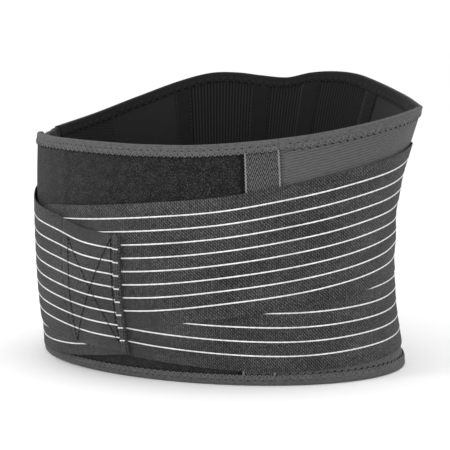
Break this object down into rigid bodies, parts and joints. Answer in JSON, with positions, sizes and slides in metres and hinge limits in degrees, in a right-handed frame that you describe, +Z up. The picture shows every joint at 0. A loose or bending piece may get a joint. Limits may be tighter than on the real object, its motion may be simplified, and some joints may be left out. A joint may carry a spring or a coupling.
{
  "type": "lumbar support belt",
  "caption": "Elastic lumbar support belt with padded back stays, overlapping front panels and hook-and-loop pull straps, fastened into a ring.",
  "frame": {"origin": "middle of the fastened belt, on the surface that its bottom rim stands on", "axes": "+Z up to the taller back rim, -Y towards the belly, +X the wearer's left"},
  "size_m": [0.3053, 0.2525, 0.2183],
  "materials": {
    "spring_steel": "satin",
    "hook_tape": "matt, dense plastic hooks",
    "binding_tape": "matt woven tape, zig-zag stitched",
    "elastic_webbing": "fine twill elastic with white stripes",
    "herringbone_tape": "matt herringbone tape",
    "lining_tape": "matt woven tape",
    "loop_pile": "brushed loop pile",
    "ribbed_twill": "fine diagonal rib",
    "spacer_foam": "matt open-cell foam",
    "ribbed_mesh": "fine ribbed mesh",
    "satin_lining": "smooth, slight sheen",
    "side_lining": "matt textured knit"
  },
  "bodies": {
    "back_and_sides": {"anchor_tape_left": "herringbone_tape", "anchor_tape_right": "herringbone_tape", "back_panel": "ribbed_twill", "back_ribbed_lining": "ribbed_mesh", "back_spacer_core": "spacer_foam", "bottom_binding_back": "binding_tape", "hip_lining_left": "satin_lining", "hip_lining_right": "satin_lining", "left_lower_strap_root": "elastic_webbing", "left_upper_strap_root": "elastic_webbing", "right_lower_strap_root": "elastic_webbing", "right_upper_strap_root": "elastic_webbing", "seam_tape_left": "lining_tape", "seam_tape_right": "lining_tape", "side_lining_left": "side_lining", "side_lining_right": "side_lining", "side_panel_left": "ribbed_twill", "side_panel_right": "ribbed_twill", "spine_tape_left": "lining_tape", "spine_tape_right": "lining_tape", "stay_side_left": "spring_steel", "stay_side_right": "spring_steel", "stay_spine_left": "spring_steel", "stay_spine_right": "spring_steel", "top_binding_back": "binding_tape"},
    "right_front": {"right_front_panel": "loop_pile", "right_front_lining": "side_lining", "front_casing": "herringbone_tape", "right_front_stay": "spring_steel", "right_front_end_binding": "binding_tape", "closure_hook_pad": "hook_tape", "right_front_top_binding": "binding_tape", "right_front_bottom_binding": "binding_tape"},
    "left_front": {"left_front_panel": "loop_pile", "left_front_lining": "side_lining", "left_front_end_binding": "binding_tape", "left_front_casing": "herringbone_tape", "left_front_stay": "spring_steel", "left_front_top_binding": "binding_tape", "left_front_bottom_binding": "binding_tape"},
    "right_strap": {"right_lower_strap": "elastic_webbing", "right_upper_strap": "elastic_webbing", "right_strap_hook_pad": "hook_tape", "right_strap_end_hem": "elastic_webbing"},
    "left_strap": {"left_lower_strap": "elastic_webbing", "left_upper_strap": "elastic_webbing"},
    "pull_tab": {"left_tab_lower": "elastic_webbing", "left_tab_upper": "elastic_webbing", "left_tab_hook_pad": "hook_tape", "left_tab_hem": "elastic_webbing"}
  },
  "joints": [
    {"name": "left_strap_open", "type": "hinge", "parent": "back_and_sides", "child": "left_strap", "pos_m": [-0.1156, 0.0736, 0], "axis": [0, 0, -1], "range_deg": [0, 100]},
    {"name": "pull_tab_peel", "type": "hinge", "parent": "left_strap", "child": "pull_tab", "pos_m": [-0.0801, -0.1082, 0], "axis": [0, 0, -1], "range_deg": [0, 60]},
    {"name": "right_strap_open", "type": "hinge", "parent": "back_and_sides", "child": "right_strap", "pos_m": [0.1487, -0.0143, 0], "axis": [0, 0, 1], "range_deg": [0, 60]},
    {"name": "right_front_open", "type": "hinge", "parent": "back_and_sides", "child": "right_front", "pos_m": [0.1029, -0.0863, 0], "axis": [0, 0, 1], "range_deg": [0, 40]},
    {"name": "left_front_open", "type": "hinge", "parent": "back_and_sides", "child": "left_front", "pos_m": [-0.1504, 0.0039, 0], "axis": [0, 0, -1], "range_deg": [0, 20]}
  ],
  "couplings": [
    {"joint": "right_strap_open", "follows": "left_strap_open", "ratio": 0.6},
    {"joint": "right_front_open", "follows": "left_strap_open", "ratio": 0.4},
    {"joint": "left_front_open", "follows": "left_strap_open", "ratio": 0.2}
  ]
}
